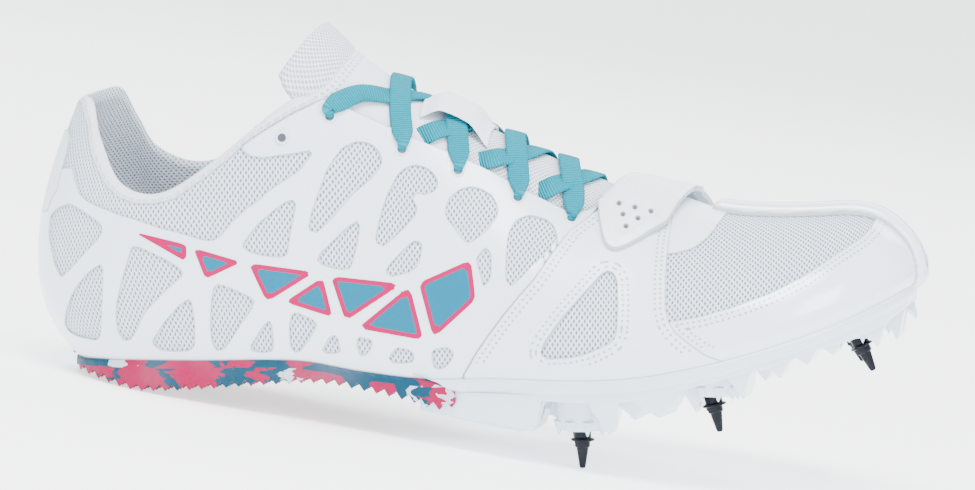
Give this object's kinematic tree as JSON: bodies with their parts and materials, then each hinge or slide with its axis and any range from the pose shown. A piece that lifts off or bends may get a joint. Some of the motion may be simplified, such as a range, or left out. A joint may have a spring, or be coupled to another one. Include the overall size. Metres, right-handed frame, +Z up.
{
  "type": "track spike shoe",
  "caption": "Low white right-foot track spike with windowed film overlays, marbled heel rubber, rigid spike plate with screw-in pins, flat laces and a forefoot strap.",
  "frame": {"origin": "centre of the flat rib under the heel that the shoe stands on", "axes": "+X towards the toe, +Y towards the inner (medial) side, +Z up; the shoe stands on its heel ribs and its rear pair of pins"},
  "size_m": [0.2636, 0.0915, 0.1138],
  "materials": {
    "mesh_fabric": "white open mesh",
    "film": "white semi-gloss film",
    "saddle_film": "white smooth film",
    "patent": "white high gloss",
    "strap_film": "white semi-gloss",
    "tongue_mesh": "white padded mesh",
    "lace_weave": "cyan flat weave",
    "keeper_film": "white smooth tape",
    "foam": "pale grey textile over foam",
    "heel_rubber": "pink, blue and white marbled rubber",
    "plate": "cool white glossy nylon",
    "pin_steel": "black coated steel"
  },
  "bodies": {
    "root": {"upper": "mesh_fabric", "film_cage": "film", "saddle_lateral": "saddle_film", "saddle_medial": "saddle_film", "toe_overlay_lateral": "patent", "toe_overlay_medial": "patent", "toe_rail": "patent", "strap": "strap_film", "tongue": "tongue_mesh", "lace": "lace_weave", "lace_keeper": "keeper_film", "insole": "foam", "heel_outsole": "heel_rubber", "spike_plate": "plate", "pin_rear_lateral": "pin_steel", "pin_rear_medial": "pin_steel", "pin_middle_lateral": "pin_steel", "pin_middle_medial": "pin_steel", "pin_front_lateral": "pin_steel", "pin_front_medial": "pin_steel"}
  },
  "joints": []
}
